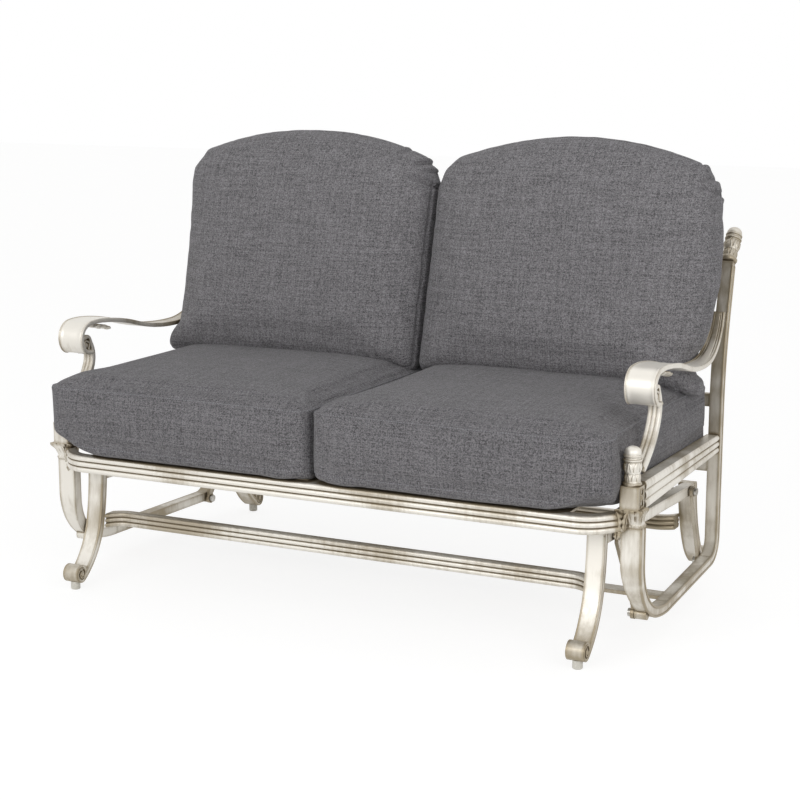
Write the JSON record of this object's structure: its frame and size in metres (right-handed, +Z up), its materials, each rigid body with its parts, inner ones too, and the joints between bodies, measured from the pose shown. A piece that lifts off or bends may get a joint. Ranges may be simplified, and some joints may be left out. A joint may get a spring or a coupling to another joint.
{
  "type": "glider bench",
  "caption": "Cushioned outdoor glider loveseat: a cast frame with scrolled arms hangs on swing links from a low base on scroll legs.",
  "frame": {"origin": "on the floor, midway between the scroll feet", "axes": "+X to the right hand side as seen from the front, +Y to the back, +Z up"},
  "size_m": [1.492, 0.858, 1.0442],
  "materials": {
    "cast_frame": "hand-brushed champagne paint over a darker ground",
    "link_metal": "champagne paint",
    "bolt_metal": "plated",
    "bush_nylon": "moulded",
    "glide_nylon": "moulded",
    "seat_fabric": "heathered charcoal weave",
    "back_fabric": "heathered charcoal weave"
  },
  "bodies": {
    "base": {"base_rail_left": "cast_frame", "base_rail_right": "cast_frame", "foot_glides": "glide_nylon", "front_leg_left": "cast_frame", "front_leg_right": "cast_frame", "front_stretcher": "cast_frame", "rear_leg_left": "cast_frame", "rear_leg_right": "cast_frame", "rear_stretcher": "cast_frame", "upper_pivot_bolts": "bolt_metal"},
    "front_link_right_swing": {"front_link_right": "link_metal", "front_link_bushes_right": "bush_nylon"},
    "front_link_left_swing": {"front_link_left": "link_metal", "front_link_bushes_left": "bush_nylon"},
    "rear_link_right_swing": {"rear_link_right": "link_metal", "rear_link_bushes_right": "bush_nylon"},
    "rear_link_left_swing": {"rear_link_left": "link_metal", "rear_link_bushes_left": "bush_nylon"},
    "seat": {"arched_back_rail": "cast_frame", "arm_support_left": "cast_frame", "arm_support_right": "cast_frame", "armrest_left": "cast_frame", "armrest_right": "cast_frame", "back_cushion_left": "back_fabric", "back_cushion_right": "back_fabric", "back_post_left": "cast_frame", "back_post_right": "cast_frame", "back_spindles": "cast_frame", "bottom_loop_bar_left": "cast_frame", "bottom_loop_bar_right": "cast_frame", "front_apron": "cast_frame", "front_loop_bar_left": "cast_frame", "front_loop_bar_right": "cast_frame", "front_post_block_left": "cast_frame", "front_post_block_right": "cast_frame", "front_post_cap_left": "cast_frame", "front_post_cap_right": "cast_frame", "front_post_collar_left": "cast_frame", "front_post_collar_right": "cast_frame", "loop_tie_bar": "cast_frame", "lower_back_rail": "cast_frame", "lower_pivot_bolts": "bolt_metal", "post_finial_left": "cast_frame", "post_finial_right": "cast_frame", "rear_seat_rail": "cast_frame", "seat_cushion_left": "seat_fabric", "seat_cushion_right": "seat_fabric", "seat_side_rail_left": "cast_frame", "seat_side_rail_right": "cast_frame", "seat_slats": "cast_frame"}
  },
  "joints": [
    {"name": "front_right_upper_pivot", "type": "hinge", "parent": "base", "child": "front_link_right_swing", "pos_m": [0.659, -0.256, 0.25188], "axis": [1, 0, 0], "range_deg": [-17, 17]},
    {"name": "front_right_lower_pivot", "type": "hinge", "parent": "front_link_right_swing", "child": "seat", "pos_m": [0.698, -0.256, 0.08588], "axis": [1, 0, 0], "range_deg": [-17, 17]},
    {"name": "front_left_upper_pivot", "type": "hinge", "parent": "base", "child": "front_link_left_swing", "pos_m": [-0.659, -0.256, 0.25188], "axis": [1, 0, 0], "range_deg": [-17, 17]},
    {"name": "rear_right_upper_pivot", "type": "hinge", "parent": "base", "child": "rear_link_right_swing", "pos_m": [0.659, 0.26, 0.22995], "axis": [1, 0, 0], "range_deg": [-17, 17]},
    {"name": "rear_left_upper_pivot", "type": "hinge", "parent": "base", "child": "rear_link_left_swing", "pos_m": [-0.659, 0.26, 0.22995], "axis": [1, 0, 0], "range_deg": [-17, 17]}
  ],
  "couplings": [
    {"joint": "front_right_lower_pivot", "follows": "front_right_upper_pivot", "ratio": -1},
    {"joint": "front_left_upper_pivot", "follows": "front_right_upper_pivot", "ratio": 1},
    {"joint": "rear_right_upper_pivot", "follows": "front_right_upper_pivot", "ratio": 1},
    {"joint": "rear_left_upper_pivot", "follows": "front_right_upper_pivot", "ratio": 1}
  ]
}
